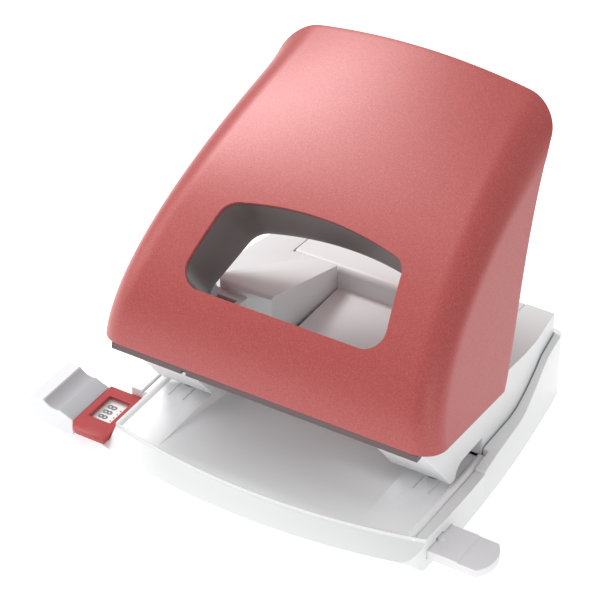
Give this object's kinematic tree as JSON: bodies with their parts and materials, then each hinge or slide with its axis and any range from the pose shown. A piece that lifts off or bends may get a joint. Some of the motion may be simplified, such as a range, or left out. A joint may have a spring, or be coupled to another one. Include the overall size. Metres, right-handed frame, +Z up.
{
  "type": "hole punch",
  "caption": "Desk punch for making two filing holes in paper, with a sprung lever, a grip window, a sliding guide rail and a chip tray.",
  "frame": {"origin": "On the table top under the plane of symmetry, at the depth of the front corners of the foot.", "axes": "+X towards the user's right along the guide rail, +Y away from the user, +Z up."},
  "size_m": [0.1446, 0.103, 0.104],
  "materials": {
    "shell_plastic": "fine satin moulded",
    "table_plastic": "fine satin moulded",
    "cover_plastic": "fine satin moulded",
    "plain_steel": "rolled",
    "bush_brass": "turned",
    "pin_steel": "ground",
    "red_metallic": "satin metallic lacquer",
    "red_plastic": "satin",
    "clear_plastic": "polished",
    "foot_rubber": "matte",
    "collar_plastic": "satin",
    "lip_plastic": "satin",
    "rail_plastic": "satin",
    "label_white": "printed film",
    "tray_plastic": "satin"
  },
  "bodies": {
    "base": {"base_front_shell": "shell_plastic", "base_rear_shell": "shell_plastic", "paper_table": "table_plastic", "die_plate_left": "plain_steel", "die_plate_right": "plain_steel", "side_cover_left": "cover_plastic", "side_cover_right": "cover_plastic", "rear_cover": "cover_plastic", "punch_frame_left": "plain_steel", "punch_frame_right": "plain_steel", "pin_guide_left": "bush_brass", "pin_guide_right": "bush_brass", "pivot_pin_left": "plain_steel", "pivot_pin_right": "plain_steel", "pivot_clips": "plain_steel", "frame_screws": "plain_steel", "format_frame": "red_plastic", "format_lens": "clear_plastic", "rail_detent": "plain_steel", "tray_hinge_rod": "plain_steel", "rubber_feet": "foot_rubber"},
    "lever": {"lever_shell": "red_metallic", "window_collar": "collar_plastic", "lever_lip_strip": "lip_plastic", "lever_bracket": "plain_steel", "press_roller_left": "plain_steel", "press_roller_right": "plain_steel", "roller_pins": "plain_steel", "lever_spacers": "collar_plastic", "lever_screws": "plain_steel"},
    "pin_left": {"punch_pin_left": "pin_steel", "pin_washer_left": "plain_steel", "return_spring_left": "pin_steel"},
    "pin_right": {"punch_pin_right": "pin_steel", "pin_washer_right": "plain_steel", "return_spring_right": "pin_steel"},
    "rail": {"guide_rail": "rail_plastic", "stop_flap": "rail_plastic", "format_label": "label_white", "rail_end_pip": "rail_plastic"},
    "tray": {"chip_tray": "tray_plastic", "tray_latch": "tray_plastic"}
  },
  "joints": [
    {"name": "lever_hinge", "type": "hinge", "parent": "base", "child": "lever", "pos_m": [0, 0.021, 0.0292], "axis": [-1, 0, 0], "range_deg": [0, 27], "stiffness_Nm_per_rad": 0.5, "springref_deg": -20.05},
    {"name": "pin_left_slide", "type": "slide", "parent": "base", "child": "pin_left", "axis": [0, 0, -1], "range_m": [0, 0.0058], "deforming": ["return_spring_left"]},
    {"name": "pin_right_slide", "type": "slide", "parent": "base", "child": "pin_right", "axis": [0, 0, -1], "range_m": [0, 0.0058], "deforming": ["return_spring_right"]},
    {"name": "rail_slide", "type": "slide", "parent": "base", "child": "rail", "axis": [-1, 0, 0], "range_m": [0, 0.08]},
    {"name": "tray_hinge", "type": "hinge", "parent": "base", "child": "tray", "pos_m": [0, 0.0896, 0.0032], "axis": [1, 0, 0], "range_deg": [0, 60]}
  ],
  "couplings": [
    {"joint": "pin_left_slide", "follows": "lever_hinge", "m_per_rad": 0.0122},
    {"joint": "pin_right_slide", "follows": "lever_hinge", "m_per_rad": 0.0122}
  ]
}
